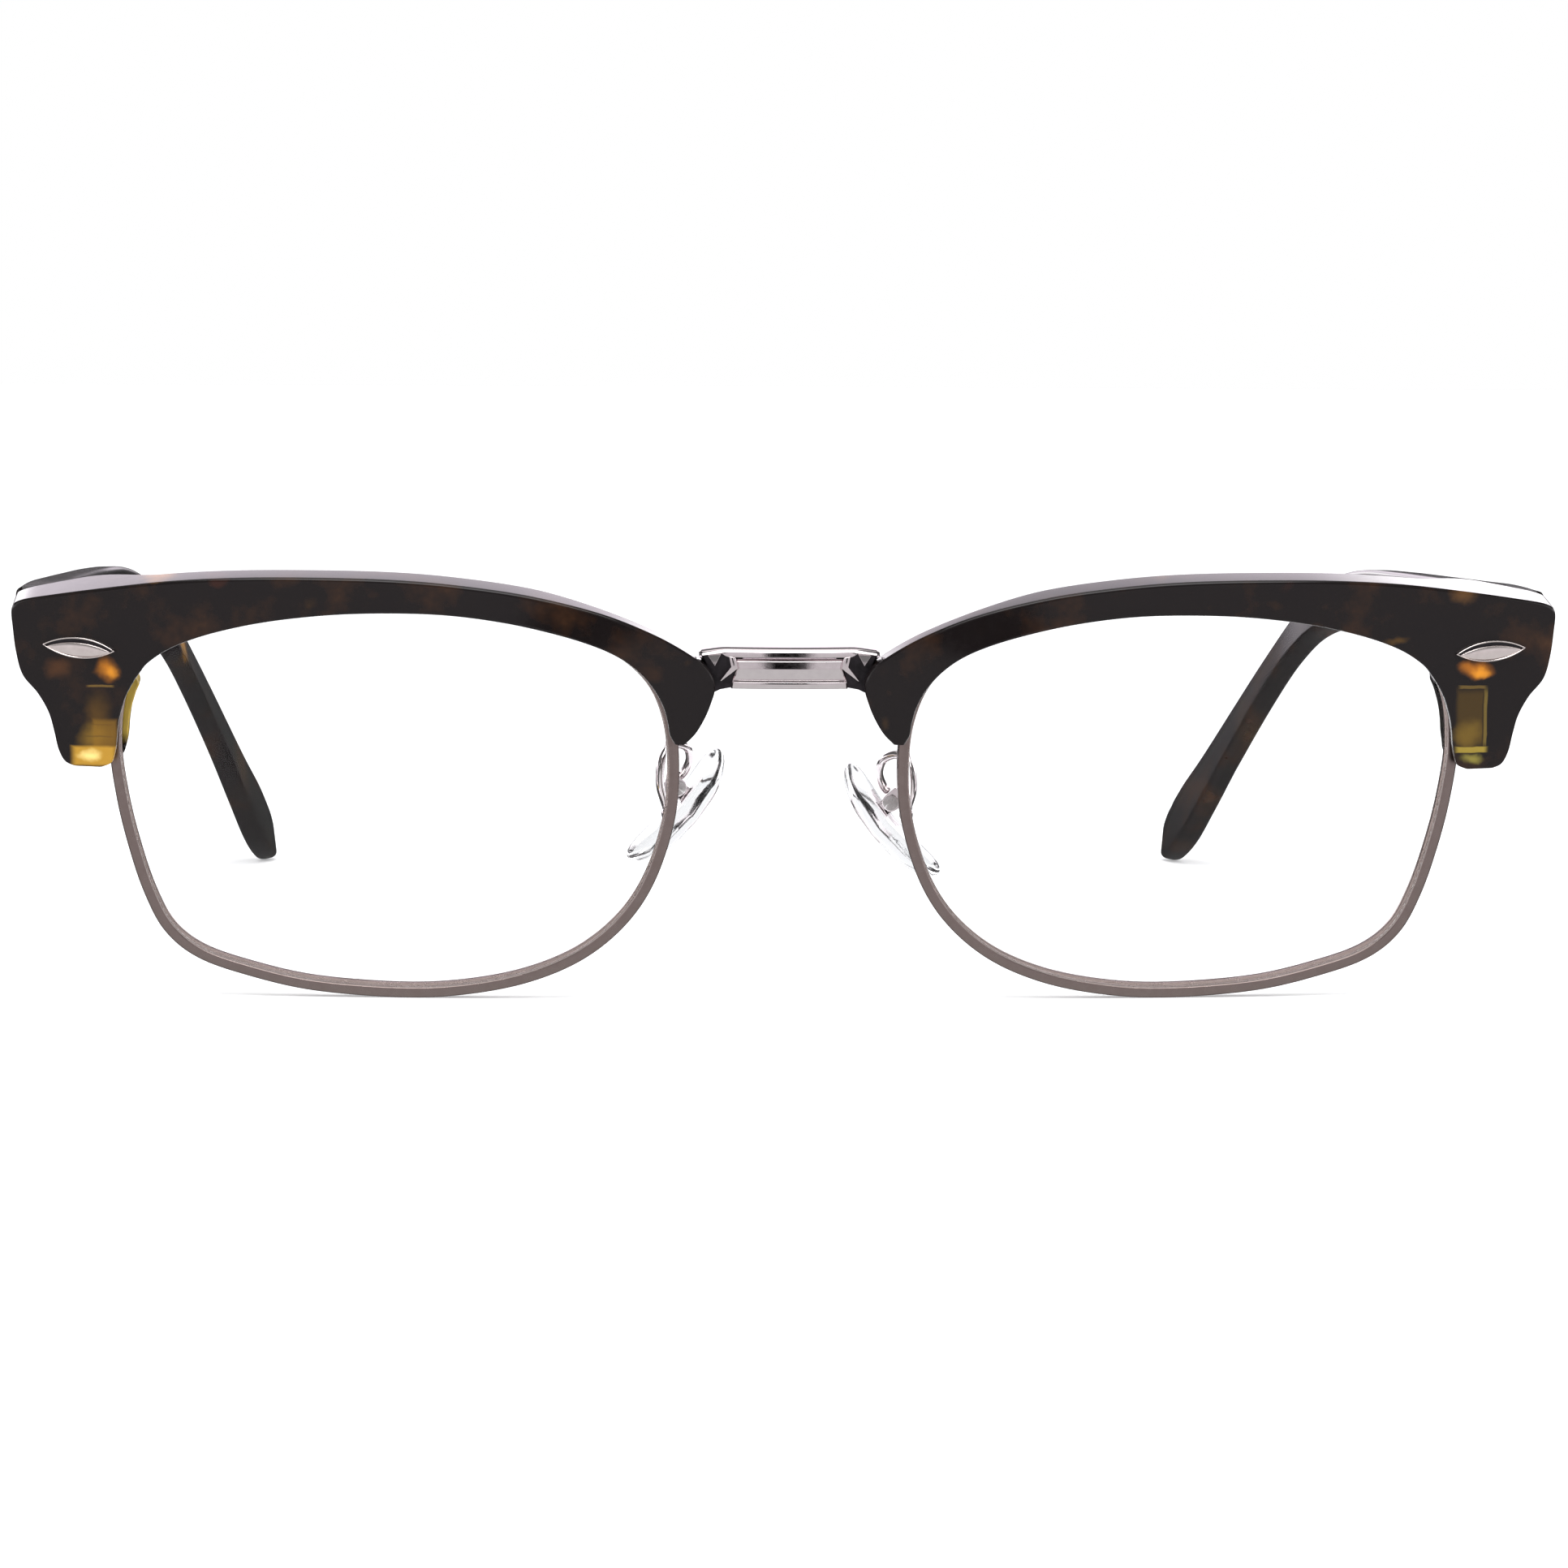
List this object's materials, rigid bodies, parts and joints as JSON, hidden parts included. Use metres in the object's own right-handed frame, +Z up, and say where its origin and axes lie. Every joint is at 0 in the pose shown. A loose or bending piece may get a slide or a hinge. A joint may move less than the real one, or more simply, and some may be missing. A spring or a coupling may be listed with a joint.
{
  "type": "half rim eyeglasses",
  "caption": "Half rim eyeglasses with dark tortoise brows and temples, metal eyewires, a flat metal bridge and clear nose pads; the temples fold.",
  "frame": {"origin": "on the surface the open glasses stand on, under the middle of their bounding box", "axes": "+X towards the wearer's left, the front faces -Y, +Z up"},
  "size_m": [0.145, 0.1547, 0.0399],
  "materials": {
    "acetate": "satin dark tortoise",
    "rim_metal": "satin gunmetal",
    "bright_metal": "polished",
    "plaque_metal": "satin",
    "hinge_metal": "satin",
    "screw_metal": "satin",
    "lens": "polished",
    "silicone": "clear soft pad"
  },
  "bodies": {
    "front": {"bridge": "bright_metal", "right_brow": "acetate", "right_brow_plaque": "plaque_metal", "right_eyewire": "rim_metal", "right_lens": "lens", "right_rim_lock_upper": "rim_metal", "right_rim_lock_lower": "rim_metal", "right_rim_lock_screw": "screw_metal", "right_brow_screws": "screw_metal", "right_front_hinge": "hinge_metal", "right_hinge_screw": "screw_metal", "right_front_rivets": "screw_metal", "right_pad_arm": "bright_metal", "right_pad_box": "bright_metal", "right_pad_screw": "screw_metal", "left_brow": "acetate", "left_brow_plaque": "plaque_metal", "left_eyewire": "rim_metal", "left_lens": "lens", "left_rim_lock_upper": "rim_metal", "left_rim_lock_lower": "rim_metal", "left_rim_lock_screw": "screw_metal", "left_brow_screws": "screw_metal", "left_front_hinge": "hinge_metal", "left_hinge_screw": "screw_metal", "left_front_rivets": "screw_metal", "left_pad_arm": "bright_metal", "left_pad_box": "bright_metal", "left_pad_screw": "screw_metal"},
    "right_temple": {"right_temple": "acetate", "right_temple_hinge": "hinge_metal", "right_temple_rivets": "screw_metal", "right_temple_plaque": "plaque_metal"},
    "right_pad": {"right_nose_pad": "silicone", "right_pad_insert": "bright_metal"},
    "left_temple": {"left_temple": "acetate", "left_temple_hinge": "hinge_metal", "left_temple_rivets": "screw_metal", "left_temple_plaque": "plaque_metal"},
    "left_pad": {"left_nose_pad": "silicone", "left_pad_insert": "bright_metal"}
  },
  "joints": [
    {"name": "right_temple_fold", "type": "hinge", "parent": "front", "child": "right_temple", "pos_m": [-0.0662, -0.06089, 0.03462], "axis": [0, 0.1392, -0.9903], "range_deg": [0, 90]},
    {"name": "left_temple_fold", "type": "hinge", "parent": "front", "child": "left_temple", "pos_m": [0.0662, -0.06089, 0.03462], "axis": [0, -0.1392, 0.9903], "range_deg": [0, 82]},
    {"name": "right_pad_swivel", "type": "hinge", "parent": "front", "child": "right_pad", "pos_m": [-0.01022, -0.06414, 0.01928], "axis": [-0.1736, 0.9848, 0], "range_deg": [-8, 8]},
    {"name": "left_pad_swivel", "type": "hinge", "parent": "front", "child": "left_pad", "pos_m": [0.01022, -0.06414, 0.01788], "axis": [0.1736, 0.9848, 0], "range_deg": [-8, 8]}
  ]
}
